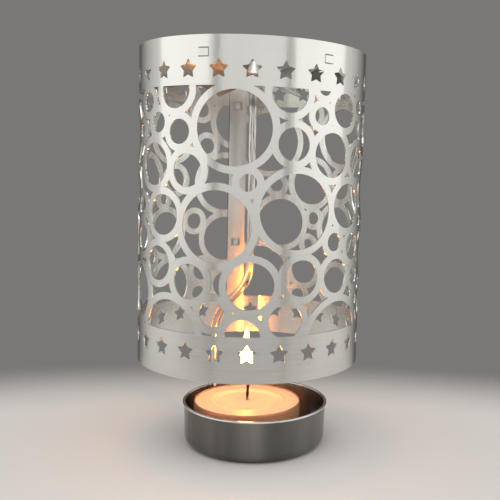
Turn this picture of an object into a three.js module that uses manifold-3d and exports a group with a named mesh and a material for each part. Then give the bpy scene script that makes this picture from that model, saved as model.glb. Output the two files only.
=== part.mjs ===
import * as THREE from 'three';
import { mergeVertices } from 'three/addons/utils/BufferGeometryUtils.js';
import Module from 'manifold-3d';

// A candle holder whose perforated lantern hangs from a heat-driven rotor and turns on a needle.
// Millimetres, +Z up. The lantern turns about the Z axis, and the cup stands on Z = 0.

const FIT = 0.3; // clearance between pieces that touch

// Pressed cup that carries everything. It stands a little to one side of the turning axis.
const CUP_X = 2.85;
const CUP_R = 25.3; // outside of the wall, under the lip
const CUP_H = 15;
const CUP_T = 0.5;
const CUP_TAPER = 0.3; // how much the wall draws in towards the bottom
const CUP_CORNER = 3.2; // outside radius of the bottom corner
const CUP_LIP = 0.5; // how far the lip turns outwards
const CUP_LIP_H = 0.7;
const CUP_SIDES = 36;
const CUP_CORNER_STEPS = 3;

// Bent rod, welded to the inside of the cup's wall, with a needle ground on its top.
const STEM_D = 2.8;
const STEM_AZ = 134; // where the leg stands on the wall, in degrees from +X
const STEM_LEG_END = 2; // end of the leg above the cup's floor
const STEM_BEND_LOW = 35; // heights between which the rod crosses to the turning axis
const STEM_BEND_HIGH = 65;
const STEM_BEND_EASE = 15; // how gently it leaves and meets the vertical
const ROD_SIDES = 8;
const ROD_STEPS = 36;
const NEEDLE_H = 7;
const NEEDLE_TIP_R = 0.25;
const NEEDLE_INSET = 0.02; // how far the needle's root stays inside the rod's flats

// Lantern: one perforated sheet, rolled to a cylinder and lapped at the back.
const LANTERN_R = 38.6; // outside radius
const LANTERN_H = 105.4;
const LANTERN_Z = 31.4; // bottom edge above the table
const SHEET_T = 0.45;
const TOP_BAND = 14.8; // plain bands left at the two edges
const BOTTOM_BAND = 14.7;
const FACETS = 24; // flats that the roll is made of, each with a star in its middle
const LAP_AZ = -170.4; // middle of the lap, in degrees from the front
const LAP_W = 7; // overlap of the two ends
const LAP_RAMP = 6; // length over which the inner end steps behind the outer one
const END_AZ = 1; // degrees without a bend beside an end of the sheet
const WALL_REACH = 6; // how far cutting prisms reach on either side of the wall

// Stars cut through both bands, one row in each. Zero degrees is the front.
const STAR_STEP_AZ = 15;
const STAR_FIRST_AZ = -150;
const STAR_COUNT = 23;
const STAR_POINTS = 5;
const STAR_R = 2.85; // from the middle to a point
const STAR_NOTCH_R = 1.45; // from the middle to an inner corner
const STAR_TOP = 10; // rows below the top edge and above the bottom edge
const STAR_BOTTOM = 9.1;

// Tongues cut on three sides. Those in the top band hold the rotor, those in the lap hold the ends.
const TONGUE_W = 3.1;
const TONGUE_H = 2.2;
const TONGUE_SLIT = 0.35;
const TONGUE_HINGE_SHARE = 0.75; // depth of its hinge in the wall, as a share of the sheet's thickness
const TONGUE_DROP = 5.1; // below the top edge
const TONGUE_BEND = 17; // degrees inwards, into the rotor's ears
const LAP_TONGUE_BEND = 30; // degrees inwards, through the lap's inner end
const LAP_TONGUE_FIRST = 36.6;
const LAP_TONGUE_RISE = 54;
const LAP_TONGUE_COUNT = 2;

// Round windows between the bands. Each has a rim, and what lies between the rims is cut away.
// Azimuth from the front, height from the middle of the sheet and radius, all in degrees of turn
// along the sheet, so the drawing always closes round it.
const RIM_W = 2.25;
const GAP_SIDE = 2; // gaps between the rims smaller than a square of this side stay closed
const HOLE_CHORD = 0.34; // greatest distance of a facet from its circle
const RIM_CHORD = 0.6;
const BACK_AZ = 135; // azimuth either way from which windows can meet the lap
const FRONT_WINDOWS = [
  [-7.7, 37.7, 17.0], [-15.5, -6.4, 16.4], [22.2, 0.9, 17.4], [1.0, -33.1, 10.9],
  [41.3, 27.1, 10.4], [-52.0, 20.9, 9.9], [54.1, 3.4, 10.7], [-44.9, -2.4, 9.5],
  [-30.2, 18.4, 7.6], [19.9, 31.3, 7.6], [-28.6, -32.2, 8.2], [25.4, -29.7, 8.5],
  [46.2, -29.8, 8.2], [-48.4, -25.4, 8.2], [49.7, 48.2, 7.9], [63.8, 24.6, 7.9],
  [-16.7, -46.4, 6.0], [-64.7, -15.0, 6.7], [60.9, -16.5, 6.6], [-34.8, 35.8, 5.7],
  [-0.9, 13.6, 4.0], [34.2, 44.7, 4.1], [-48.6, 40.1, 4.7], [-57.5, 49.6, 4.6],
  [-65.8, 0.9, 4.9], [44.2, -13.5, 4.4], [64.1, -31.2, 4.7], [-71.4, -41.4, 14.2],
  [-37.4, 54.3, 8.2], [17.6, 53.9, 8.7], [35.6, 57.6, 3.6], [-2.3, -56.6, 8.2],
  [17.8, -49.4, 8.0], [-41.0, -57.9, 16.1], [48.2, -60.7, 18.5], [67.1, -43.6, 3.3],
  [63.8, 50.9, 3.6], [70.1, -4.3, 3.3], [-65.2, 36.5, 3.6],
];
const SIDE_WINDOWS = [
  [89.8, 11.6, 17.1], [85.4, -21.8, 12.6], [81.6, -47.1, 8.3], [77.9, 41.3, 8.9],
  [102.1, -11.7, 3.4], [95.5, 43.0, 5.0], [99.5, -42.0, 6.8], [118.5, 11.5, 7.5],
  [121.5, -13.5, 12.8], [118.9, 39.0, 15.3], [120.6, -46.3, 11.7], [-86.0, 36.0, 14.0],
  [-81.0, 8.0, 9.0], [-93.0, -14.0, 12.0], [-99.5, -44.0, 10.0], [-109.5, -30.0, 3.4],
  [-106.0, 47.0, 4.5], [-106.0, 13.0, 11.0], [-127.2, 38.1, 14.1], [-130.6, 12.3, 6.3],
  [-120.9, 1.6, 2.8], [-122.4, -17.3, 11.7], [-126.0, -48.0, 13.6],
];
const BACK_WINDOWS = [
  [142.2, 12.3, 12.2], [144.5, 51.5, 6.0], [140.6, -8.0, 3.5], [144.0, -23.2, 2.9],
  [146.7, -38.8, 8.0], [150.3, -54.3, 4.0], [162.1, -11.2, 13.7], [165.3, 10.7, 3.8],
  [170.2, 35.8, 17.1], [175.3, -42.7, 16.7], [-170.2, 46.6, 12.6], [-163.1, 10.4, 15.2],
  [-163.7, -21.8, 12.8], [-164.5, -49.5, 7.5], [-151.8, 32.3, 4.5], [-148.3, 52.9, 4.4],
  [-143.9, -11.3, 4.5], [-149.5, -40.5, 5.5], [-147.2, -53.8, 3.9],
];

// Rotor: a pressed wheel of twisted blades, with an ear at each blade's end.
const BLADES = 6;
const ROTOR_T = 0.45;
const HUB_R = 9;
const HUB_SIDES = 24;
const DIMPLE_R = 3.4; // pocket in the hub that sits on the needle
const DIMPLE_TIP_R = 0.7;
const DIMPLE_H = 5;
const BLADE_AZ = 37.5; // first blade, in degrees from the front
const BLADE_PITCH = 30; // degrees of twist
const BLADE_NECK = 4.6; // width where it leaves the hub
const NECK_SINK = 1; // length of the neck inside the hub's edge
const NECK_FREE = 0.6; // length outside it before the twist begins
const NECK_GROW = 1; // gain of width halfway along the twist
const BLADE_ROOT_R = 13;
const BLADE_ROOT_W = 9;
const ROOT_CORNER = [0.6, 1.6]; // length and width that the corners take at the inner end
const BLADE_END_R = 31;
const BLADE_END_W = 17;
const END_CORNER = [0.7, 1.8]; // the same at the outer end
const EAR_W = 6.4;
const EAR_ROOT = 1.2; // flat length of the blade before its ear
const EAR_FOOT = 1.5; // metal below and above the ear's window
const EAR_TOP = 1.2;

// Tealight: wax in a clear cup, with a wick held by a foot.
const TEA_X = 0;
const TEA_R = 19;
const TEA_H = 14.1;
const TEA_T = 0.4;
const WAX_DROP = 0.2; // wax below the clear cup's edge
const WAX_EDGE = 0.5; // chamfer of the wax's edge
const POOL_R = 12.7; // hollow that the flame has melted
const POOL_DEPTH = 0.6;
const POOL_SHORE = 1.5; // width of the hollow's slope
const TEA_SIDES = 32;
const WICK_D = 1;
const WICK_OUT = 7.5; // above the pool
const WICK_LEAN = 0.4;
const WICK_STRAIGHT_SHARE = 0.3; // share of the free wick that stays upright
const WICK_EASE_SHARE = 0.7; // share at which its bend is pulled upright
const WICK_SIDES = 6;
const WICK_STEPS = 8;
const FOOT_R = 6.2;
const FOOT_T = 0.4;
const COLLAR_T = 0.4;
const COLLAR_H = 3;
const FOOT_SIDES = 16;

// Finishes of the pieces: colour, roughness and metalness.
const PRESSED_STEEL = [0x8d8c89, 0.38, 1];
const DRAWN_STEEL = [0xb5b4b0, 0.3, 1];
const SHEET_STEEL = [0xc9c8c4, 0.3, 1];
const STAMPED_STEEL = [0xbdbcb8, 0.34, 1];
const TINNED_STEEL = [0xb9b7b2, 0.4, 1];
const CLEAR_PLASTIC = [0xf2e9dc, 0.12, 0];
const WARM_WAX = [0xf4dcb4, 0.5, 0];
const CHARRED_COTTON = [0x2a2320, 0.9, 0];

const WELD = 1e-4; // corners nearer than this are one

const wasm = await Module();
wasm.setup();
const rad = THREE.MathUtils.degToRad;
const deg = THREE.MathUtils.radToDeg;

// A closed geometry as a solid with its faces pointing out.
function solid(geometry) {
  const bare = new THREE.BufferGeometry();
  bare.setAttribute('position', geometry.getAttribute('position'));
  bare.setIndex(geometry.getIndex());
  const merged = mergeVertices(bare, WELD);
  const p = merged.getAttribute('position').array;
  const index = merged.getIndex().array;
  const at = (i) => new THREE.Vector3(p[3 * i], p[3 * i + 1], p[3 * i + 2]);
  const faces = [];
  let volume = 0;
  for (let i = 0; i < index.length; i += 3) {
    const [a, b, c] = index.slice(i, i + 3);
    if (a === b || b === c || c === a) continue;
    faces.push([a, b, c]);
    volume += at(a).dot(at(b).cross(at(c)));
  }
  const out = volume < 0 ? faces.map(([a, b, c]) => [a, c, b]) : faces;
  const mesh = new wasm.Mesh({ numProp: 3, vertProperties: p, triVerts: new Uint32Array(out.flat()) });
  return new wasm.Manifold(mesh);
}

function joined(solids) {
  return solids.reduce((a, b) => a.add(b));
}

// A solid as a named mesh.
function piece(name, body, [color, roughness, metalness]) {
  const mesh = body.getMesh();
  const geometry = new THREE.BufferGeometry();
  geometry.setAttribute('position', new THREE.BufferAttribute(mesh.vertProperties, 3));
  geometry.setIndex(new THREE.BufferAttribute(mesh.triVerts, 1));
  geometry.computeVertexNormals();
  const made = new THREE.Mesh(geometry, new THREE.MeshStandardMaterial({ color, roughness, metalness }));
  made.name = name;
  return made;
}

// A profile of [radius, height] points turned about Z.
function turned(profile, sides) {
  const points = profile.map(([r, z]) => new THREE.Vector2(r, z));
  return new THREE.LatheGeometry(points, sides).rotateX(Math.PI / 2);
}

// An arc of [radius, height] points, for rounded corners of a profile.
function arc(r, z, radius, from, to, steps) {
  return Array.from({ length: steps + 1 }, (_, i) => {
    const a = rad(from + ((to - from) * i) / steps);
    return [r + radius * Math.cos(a), z + radius * Math.sin(a)];
  });
}

function outline(points) {
  return new THREE.Shape(points.map(([x, y]) => new THREE.Vector2(x, y)));
}

function extruded(points, depth) {
  return new THREE.ExtrudeGeometry(outline(points), { depth, bevelEnabled: false });
}

// Turns a geometry that faces the front, with X sideways and -Y outwards, to an azimuth and height.
function around(geometry, azimuth, z) {
  return geometry.rotateZ(rad(azimuth)).translate(0, 0, z);
}

// A prism that goes through the lantern's wall at the front: a flat outline pushed outwards.
function throughWall(points) {
  const prism = extruded(points, 2 * WALL_REACH);
  return prism.rotateX(Math.PI / 2).translate(0, -LANTERN_R + WALL_REACH, 0);
}

const group = new THREE.Group();

// Cup.
const cupFootR = CUP_R - CUP_TAPER;
const cupLip = CUP_LIP_H / 2;
const cupCornerIn = CUP_CORNER - CUP_T;
const cupProfile = [
  [0, 0],
  ...arc(cupFootR - CUP_CORNER, CUP_CORNER, CUP_CORNER, -90, 0, CUP_CORNER_STEPS),
  [CUP_R, CUP_H - CUP_LIP_H],
  ...arc(CUP_R + CUP_LIP - cupLip, CUP_H - cupLip, cupLip, -90, 90, CUP_CORNER_STEPS - 1),
  [CUP_R - CUP_T + cupLip, CUP_H],
  [CUP_R - CUP_T, CUP_H - cupLip],
  ...arc(cupFootR - CUP_CORNER, CUP_CORNER, cupCornerIn, 0, -90, CUP_CORNER_STEPS - 1),
  [0, CUP_T],
];
const cup = solid(turned(cupProfile, CUP_SIDES).translate(CUP_X, 0, 0));
group.add(piece('base_cup', cup, PRESSED_STEEL));

// Rod: up the cup's wall, across to the turning axis in an S and straight up to the needle.
const rotorTongueZ = LANTERN_Z + LANTERN_H - TONGUE_DROP;
const armZ = rotorTongueZ - TONGUE_H / 2 - FIT - EAR_FOOT; // underside of the flat arms
const needleZ = armZ + DIMPLE_H - FIT;
const legR = cupFootR - CUP_T - FIT - STEM_D / 2;
const legX = CUP_X + legR * Math.cos(rad(STEM_AZ));
const legY = legR * Math.sin(rad(STEM_AZ));
const rodPath = new THREE.CurvePath();
const legFoot = new THREE.Vector3(legX, legY, CUP_T + STEM_LEG_END);
const legTop = new THREE.Vector3(legX, legY, STEM_BEND_LOW);
const legEase = new THREE.Vector3(legX, legY, STEM_BEND_LOW + STEM_BEND_EASE);
const axisEase = new THREE.Vector3(0, 0, STEM_BEND_HIGH - STEM_BEND_EASE);
const axisLow = new THREE.Vector3(0, 0, STEM_BEND_HIGH);
const axisTop = new THREE.Vector3(0, 0, needleZ - NEEDLE_H);
rodPath.add(new THREE.LineCurve3(legFoot, legTop));
rodPath.add(new THREE.CubicBezierCurve3(legTop, legEase, axisEase, axisLow));
rodPath.add(new THREE.LineCurve3(axisLow, axisTop));
const rodCircle = new THREE.EllipseCurve(0, 0, STEM_D / 2, STEM_D / 2).getPoints(ROD_SIDES);
const rodSection = new THREE.Shape(rodCircle);
const rod = solid(new THREE.ExtrudeGeometry(rodSection, { steps: ROD_STEPS, extrudePath: rodPath }));
const needleR = (STEM_D / 2) * Math.cos(Math.PI / ROD_SIDES) - NEEDLE_INSET;
const needleProfile = [
  [0, axisTop.z - STEM_D], [needleR, axisTop.z - STEM_D], [needleR, axisTop.z],
  [NEEDLE_TIP_R, needleZ], [0, needleZ],
];
const needle = solid(turned(needleProfile, ROD_SIDES));
group.add(piece('stem', rod.add(needle), DRAWN_STEEL));

// Lantern sheet. In plan it runs from the lap's outer end once round to the inner end behind it.
const lapHalf = deg(LAP_W / 2 / LANTERN_R);
const lapStep = deg(LAP_RAMP / LANTERN_R);
const outerEnd = LAP_AZ - lapHalf;
const innerEnd = LAP_AZ + lapHalf + 360;
const stepEnd = outerEnd + 360 - deg(FIT / LANTERN_R);
const flat = 360 / FACETS;
const lines = Array.from({ length: 2 * FACETS }, (_, i) => (i - FACETS / 2 - 0.5) * flat);
const between = (from, to) => lines.filter((a) => a > from + END_AZ && a < to - END_AZ);
const bends = between(outerEnd, stepEnd - lapStep);
const lapBends = between(stepEnd, innerEnd);
const azimuths = [outerEnd, ...bends, stepEnd - lapStep, stepEnd, ...lapBends, innerEnd];

// Distance of the wall's outside from the axis at an azimuth. The flats are nearest in their middles.
function wallAt(azimuth) {
  const off = azimuth - flat * Math.round(azimuth / flat);
  return (LANTERN_R * Math.cos(rad(flat / 2))) / Math.cos(rad(off));
}
const sunk = (a) => (a >= stepEnd ? SHEET_T + FIT : 0);
const planPoint = (a, r) => [r * Math.sin(rad(a)), -r * Math.cos(rad(a))];
const outside = azimuths.map((a) => planPoint(a, wallAt(a) - sunk(a)));
const inside = azimuths.map((a) => planPoint(a, wallAt(a) - SHEET_T - sunk(a)));
const blank = solid(extruded([...outside, ...inside.reverse()], LANTERN_H));

// Zone between the bands and beside the lap, where the windows are.
const zoneFrom = LAP_AZ + lapHalf;
const zoneTo = outerEnd + 360;
const zoneSteps = 2 * FACETS;
const zoneDeep = 2 * (SHEET_T + FIT);
const zoneAz = Array.from({ length: zoneSteps + 1 }, (_, i) => {
  return zoneFrom + ((zoneTo - zoneFrom) * i) / zoneSteps;
});
const zoneOut = zoneAz.map((a) => planPoint(a, LANTERN_R + FIT));
const zoneIn = zoneAz.map((a) => planPoint(a, LANTERN_R - zoneDeep));
const zoneH = LANTERN_H - TOP_BAND - BOTTOM_BAND;
const zone = solid(extruded([...zoneOut, ...zoneIn.reverse()], zoneH).translate(0, 0, BOTTOM_BAND));

// A round bar through the wall at one place of the drawing. Near the lap it opens only the end of
// the sheet on which it is drawn, so it is kept to its own side of the lap.
const turnMm = rad(LANTERN_R);
const lapSides = [-1, 1].map((side) => {
  const half = new THREE.BoxGeometry(2 * LANTERN_R, 4 * LANTERN_R, 2 * LANTERN_H);
  return solid(around(half.translate(side * LANTERN_R, 0, 0), LAP_AZ, LANTERN_H / 2));
});
function windowBar([azimuth, height, radius], wider, chord) {
  const r = radius * turnMm + wider;
  const sides = Math.ceil(Math.PI / Math.acos(1 - chord / r));
  const round = new THREE.CylinderGeometry(r, r, 2 * WALL_REACH, sides).translate(0, -LANTERN_R, 0);
  const bar = solid(around(round, azimuth, LANTERN_H / 2 + height * turnMm));
  if (Math.abs(azimuth) < BACK_AZ) return bar;
  return bar.intersect(azimuth > 0 ? lapSides[0] : lapSides[1]);
}
const drawing = [...FRONT_WINDOWS, ...SIDE_WINDOWS, ...BACK_WINDOWS];
const rims = joined(drawing.map((w) => windowBar(w, RIM_W, RIM_CHORD)));
const holes = joined(drawing.map((w) => windowBar(w, 0, HOLE_CHORD)));
const gapVolume = GAP_SIDE * GAP_SIDE * (zoneDeep + FIT);
const gaps = zone.subtract(rims).decompose().filter((g) => g.volume() > gapVolume);
const fretwork = joined([zone.intersect(holes), ...gaps]);

// A five-pointed star, standing on two of its points.
function starPoints() {
  const pitch = 360 / STAR_POINTS;
  const corner = (r, a) => [r * Math.sin(rad(a)), r * Math.cos(rad(a))];
  return Array.from({ length: STAR_POINTS }, (_, i) => -pitch * i).flatMap((a) => {
    return [corner(STAR_R, a), corner(STAR_NOTCH_R, a - pitch / 2)];
  });
}
const starAz = Array.from({ length: STAR_COUNT }, (_, i) => STAR_FIRST_AZ + STAR_STEP_AZ * i);
const starRows = [STAR_BOTTOM, LANTERN_H - STAR_TOP];
const stars = starRows.flatMap((z) => starAz.map((a) => solid(around(throughWall(starPoints()), a, z))));

// A tongue in the wall: the window that frees it, and its plate bent inwards about one end.
// Side +1 has the free end towards greater azimuths, and -1 towards smaller ones.
function tongue(azimuth, z, side, bend) {
  const half = TONGUE_W / 2;
  const high = TONGUE_H / 2 + TONGUE_SLIT;
  const free = half + TONGUE_SLIT;
  const frame = [[-half, -high], [free, -high], [free, high], [-half, high]];
  const window = solid(around(throughWall(frame.map(([x, y]) => [side * x, y])), azimuth, z));
  const root = SHEET_T / 2; // the plate starts this far inside the wall
  const plate = new THREE.BoxGeometry(TONGUE_W + root, SHEET_T, TONGUE_H);
  plate.translate((side * (TONGUE_W - root)) / 2, 0, 0).rotateZ(rad(side * bend));
  const hinge = wallAt(azimuth - (side * half) / turnMm) - SHEET_T * TONGUE_HINGE_SHARE;
  plate.translate(-side * half, -hinge, 0);
  return { window, plate: solid(around(plate, azimuth, z)) };
}
const armAz = Array.from({ length: BLADES }, (_, i) => BLADE_AZ + (360 / BLADES) * i);
const rotorTongues = armAz.map((a, i) => {
  return tongue(a, LANTERN_H - TONGUE_DROP, i % 2 ? 1 : -1, TONGUE_BEND);
});
const lapZ = Array.from({ length: LAP_TONGUE_COUNT }, (_, i) => LAP_TONGUE_FIRST + LAP_TONGUE_RISE * i);
const lapTongues = lapZ.map((z) => tongue(LAP_AZ, z, 1, LAP_TONGUE_BEND));
const tongues = [...rotorTongues, ...lapTongues];
const cuts = joined([fretwork, ...stars, ...tongues.map((t) => t.window)]);
const sheet = joined([blank.subtract(cuts), ...tongues.map((t) => t.plate)]);
const lantern = piece('lantern', sheet, SHEET_STEEL);
lantern.position.z = LANTERN_Z;
group.add(lantern);

// Rotor hub with its pocket, turned about the axis.
const pocketLean = Math.atan2(DIMPLE_R - DIMPLE_TIP_R, DIMPLE_H);
const slope = (ROTOR_T * (1 - Math.sin(pocketLean))) / Math.cos(pocketLean);
const hubProfile = [
  [0, DIMPLE_H], [DIMPLE_TIP_R, DIMPLE_H], [DIMPLE_R, 0], [HUB_R, 0], [HUB_R, ROTOR_T],
  [DIMPLE_R + slope, ROTOR_T], [DIMPLE_TIP_R + slope, DIMPLE_H + ROTOR_T], [0, DIMPLE_H + ROTOR_T],
];
const hub = solid(turned(hubProfile, HUB_SIDES));

// A blade as a loft of flat sections along the radius: [radius, width, twist].
function loft(sections) {
  const corners = [[-0.5, -0.5], [0.5, -0.5], [0.5, 0.5], [-0.5, 0.5]];
  const points = sections.flatMap(([r, width, twist]) => {
    return corners.flatMap(([u, v]) => {
      const c = Math.cos(rad(twist));
      const s = Math.sin(rad(twist));
      const x = u * width * c - v * ROTOR_T * s;
      const z = u * width * s + v * ROTOR_T * c;
      return [x, -r, z];
    });
  });
  const faces = [0, 2, 1, 0, 3, 2];
  const last = 4 * (sections.length - 1);
  for (let ring = 0; ring < last; ring += 4) {
    for (let i = 0; i < 4; i += 1) {
      const j = (i + 1) % 4;
      faces.push(ring + i, ring + j, ring + 4 + j, ring + i, ring + 4 + j, ring + 4 + i);
    }
  }
  faces.push(last, last + 1, last + 2, last, last + 2, last + 3);
  const geometry = new THREE.BufferGeometry();
  geometry.setAttribute('position', new THREE.Float32BufferAttribute(points, 3));
  return geometry.setIndex(faces);
}

// An ear stands upright behind the wall, and the lantern's tongue hooks into its window.
const earOutR = LANTERN_R - SHEET_T - (EAR_W / 2) * Math.tan(rad(flat / 2)) - FIT;
const earH = EAR_FOOT + TONGUE_H + 2 * FIT + EAR_TOP;
const earWindowW = TONGUE_W + 2 * TONGUE_SLIT + FIT;
const earWindowH = TONGUE_H + 2 * FIT;
function ear() {
  const plate = new THREE.BoxGeometry(EAR_W, ROTOR_T, earH);
  const body = solid(plate.translate(0, -earOutR + ROTOR_T / 2, earH / 2));
  const gap = new THREE.BoxGeometry(earWindowW, 4 * ROTOR_T, earWindowH);
  return body.subtract(solid(gap.translate(0, -earOutR, EAR_FOOT + earWindowH / 2)));
}
const neckEnd = earOutR - EAR_ROOT;
const bladeSections = [
  [HUB_R - NECK_SINK, BLADE_NECK, 0],
  [HUB_R + NECK_FREE, BLADE_NECK, 0],
  [(HUB_R + BLADE_ROOT_R) / 2, BLADE_NECK + NECK_GROW, BLADE_PITCH / 2],
  [BLADE_ROOT_R - ROOT_CORNER[0], BLADE_ROOT_W - ROOT_CORNER[1], BLADE_PITCH],
  [BLADE_ROOT_R, BLADE_ROOT_W, BLADE_PITCH],
  [BLADE_END_R, BLADE_END_W, BLADE_PITCH],
  [BLADE_END_R + END_CORNER[0], BLADE_END_W - END_CORNER[1], BLADE_PITCH],
  [(BLADE_END_R + neckEnd) / 2, EAR_W, BLADE_PITCH / 2],
  [neckEnd, EAR_W, 0],
  [earOutR, EAR_W, 0],
];
const blade = solid(loft(bladeSections).translate(0, 0, ROTOR_T / 2)).add(ear());
const blades = armAz.map((a) => blade.rotate([0, 0, a]));
const rotor = piece('rotor', joined([hub, ...blades]), STAMPED_STEEL);
rotor.position.z = armZ;
group.add(rotor);

// Tealight, standing on the cup's floor.
const tealight = new THREE.Group();
tealight.position.set(TEA_X, 0, CUP_T + FIT);
group.add(tealight);
const clearProfile = [
  [0, 0], [TEA_R - TEA_T, 0], [TEA_R, TEA_T], [TEA_R, TEA_H],
  [TEA_R - TEA_T, TEA_H], [TEA_R - TEA_T, TEA_T], [0, TEA_T],
];
tealight.add(piece('tealight_cup', solid(turned(clearProfile, TEA_SIDES)), CLEAR_PLASTIC));

const footZ = TEA_T + FIT;
const wickR = WICK_D / 2;
const collarIn = wickR + FIT;
const collarOut = collarIn + COLLAR_T;
const footProfile = [
  [collarIn, footZ], [FOOT_R, footZ], [FOOT_R, footZ + FOOT_T], [collarOut, footZ + FOOT_T],
  [collarOut, footZ + COLLAR_H], [collarIn, footZ + COLLAR_H], [collarIn, footZ],
];
tealight.add(piece('wick_foot', solid(turned(footProfile, FOOT_SIDES)), TINNED_STEEL));

// Wax: hollowed by the flame on top and by the wick's foot below.
const waxR = TEA_R - TEA_T - FIT;
const waxTop = TEA_H - WAX_DROP;
const poolZ = waxTop - POOL_DEPTH;
const waxProfile = [
  [collarIn, poolZ], [POOL_R - POOL_SHORE, poolZ], [POOL_R, waxTop], [waxR - WAX_EDGE, waxTop],
  [waxR, waxTop - WAX_EDGE], [waxR, footZ], [FOOT_R + FIT, footZ], [FOOT_R + FIT, footZ + FOOT_T + FIT],
  [collarOut + FIT, footZ + FOOT_T + FIT], [collarOut + FIT, footZ + COLLAR_H + FIT],
  [collarIn, footZ + COLLAR_H + FIT], [collarIn, poolZ],
];
tealight.add(piece('tealight_wax', solid(turned(waxProfile, TEA_SIDES)), WARM_WAX));

// Wick: upright in the wax, leaning over a little at its burnt end.
const wickTop = poolZ + WICK_OUT;
const wickPath = new THREE.CurvePath();
const wickFoot = new THREE.Vector3(0, 0, footZ);
const wickBend = new THREE.Vector3(0, 0, poolZ + WICK_OUT * WICK_STRAIGHT_SHARE);
const wickEase = new THREE.Vector3(0, 0, poolZ + WICK_OUT * WICK_EASE_SHARE);
const wickTip = new THREE.Vector3(WICK_LEAN, 0, wickTop);
wickPath.add(new THREE.LineCurve3(wickFoot, wickBend));
wickPath.add(new THREE.QuadraticBezierCurve3(wickBend, wickEase, wickTip));
const wickSection = new THREE.Shape(new THREE.EllipseCurve(0, 0, wickR, wickR).getPoints(WICK_SIDES));
const wick = solid(new THREE.ExtrudeGeometry(wickSection, { steps: WICK_STEPS, extrudePath: wickPath }));
tealight.add(piece('wick', wick, CHARRED_COTTON));

export default group;
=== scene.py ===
from math import atan2, cos, degrees, pi, radians, sin

import bpy
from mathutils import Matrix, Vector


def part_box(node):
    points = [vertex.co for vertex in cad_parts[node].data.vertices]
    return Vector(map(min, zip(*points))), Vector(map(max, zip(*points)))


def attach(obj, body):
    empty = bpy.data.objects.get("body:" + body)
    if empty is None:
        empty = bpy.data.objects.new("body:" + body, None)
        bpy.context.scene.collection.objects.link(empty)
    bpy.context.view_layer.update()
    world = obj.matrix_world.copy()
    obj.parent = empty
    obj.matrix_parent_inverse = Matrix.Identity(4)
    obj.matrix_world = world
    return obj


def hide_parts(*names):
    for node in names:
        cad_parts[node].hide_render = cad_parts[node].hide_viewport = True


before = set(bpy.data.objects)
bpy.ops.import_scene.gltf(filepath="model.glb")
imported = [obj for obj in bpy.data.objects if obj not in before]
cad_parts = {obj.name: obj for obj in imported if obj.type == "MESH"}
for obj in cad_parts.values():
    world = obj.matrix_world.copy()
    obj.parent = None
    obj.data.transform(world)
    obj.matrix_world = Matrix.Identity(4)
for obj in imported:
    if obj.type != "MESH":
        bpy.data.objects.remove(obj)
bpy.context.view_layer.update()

MM = 0.001

# Camera. It stands a little above the lantern's middle and looks slightly down on it.
# Its frame is a crop, so the optical axis meets the picture right of the middle.
CAMERA_AT = (2.89 * MM, -263.84 * MM, 97.74 * MM)
CAMERA_YAW = 4.38
CAMERA_PITCH = 5.70
CAMERA_ROLL = 1.67
CAMERA_LENS = 53.8
CAMERA_SHIFT = (-0.131, -0.011)
CAMERA_NEAR = 10 * MM
bpy.ops.object.select_all(action='DESELECT')
bpy.ops.object.camera_add(location=CAMERA_AT)
camera = bpy.context.object
camera.rotation_mode = 'YXZ'
camera.rotation_euler = (radians(90 - CAMERA_PITCH), 0, radians(-CAMERA_YAW))
camera.rotation_euler.rotate_axis('Z', radians(CAMERA_ROLL))
camera.data.lens = CAMERA_LENS
camera.data.shift_x, camera.data.shift_y = CAMERA_SHIFT
camera.data.clip_start = CAMERA_NEAR
bpy.context.scene.camera = camera
bpy.context.scene.view_settings.view_transform = 'Standard'

# Cup. Drawn in a press from thin stainless sheet, with a rounded bottom corner and an edge turned out
# to a small bead. It stands on the table a little beside the turning axis and carries the rod.
CUP_WALL = 0.5 * MM
CUP_TAPER = 0.3 * MM
CUP_CORNER = 3.2 * MM
CUP_BEAD = 0.5 * MM
CUP_BEAD_HIGH = 0.7 * MM
CUP_ROUND = 128
CUP_CORNER_STEPS = (10, 8)
CUP_BEAD_STEPS = (8, 4)
MERGE = 0.001 * MM
SMOOTH_ANGLE = 35


def arc(r, z, radius, start, end, steps):
    """Points of an arc in a profile of (radius, height)."""
    turn = [radians(start + (end - start) * i / steps) for i in range(steps + 1)]
    return [(r + radius * cos(a), z + radius * sin(a)) for a in turn]


def drawn(name, points):
    """A line of edges through the points, drawn by extruding one vertex, left in edit mode."""
    bpy.ops.object.select_all(action='DESELECT')
    bpy.ops.mesh.primitive_plane_add(size=MM, location=points[0])
    line = bpy.context.object
    line.name = name
    bpy.ops.object.transform_apply(location=True, rotation=True, scale=True)
    bpy.ops.object.mode_set(mode='EDIT')
    bpy.ops.mesh.merge(type='CENTER')
    for start, end in zip(points, points[1:]):
        step = [b - a for a, b in zip(start, end)]
        bpy.ops.mesh.extrude_region_move(TRANSFORM_OT_translate={"value": step})
    bpy.ops.mesh.select_all(action='SELECT')
    return line


def turned(name, profile, steps, axis_x=0.0):
    """A closed profile of (radius, height) points, spun about an upright axis."""
    piece = drawn(name, [(axis_x + r, 0, z) for r, z in profile])
    bpy.ops.mesh.spin(steps=steps, angle=2 * pi, center=(axis_x, 0, 0), axis=(0, 0, 1))
    bpy.ops.mesh.select_all(action='SELECT')
    bpy.ops.mesh.remove_doubles(threshold=MERGE)
    bpy.ops.mesh.normals_make_consistent(inside=False)
    bpy.ops.object.mode_set(mode='OBJECT')
    bpy.ops.object.shade_smooth_by_angle(angle=radians(SMOOTH_ANGLE))
    return piece


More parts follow.
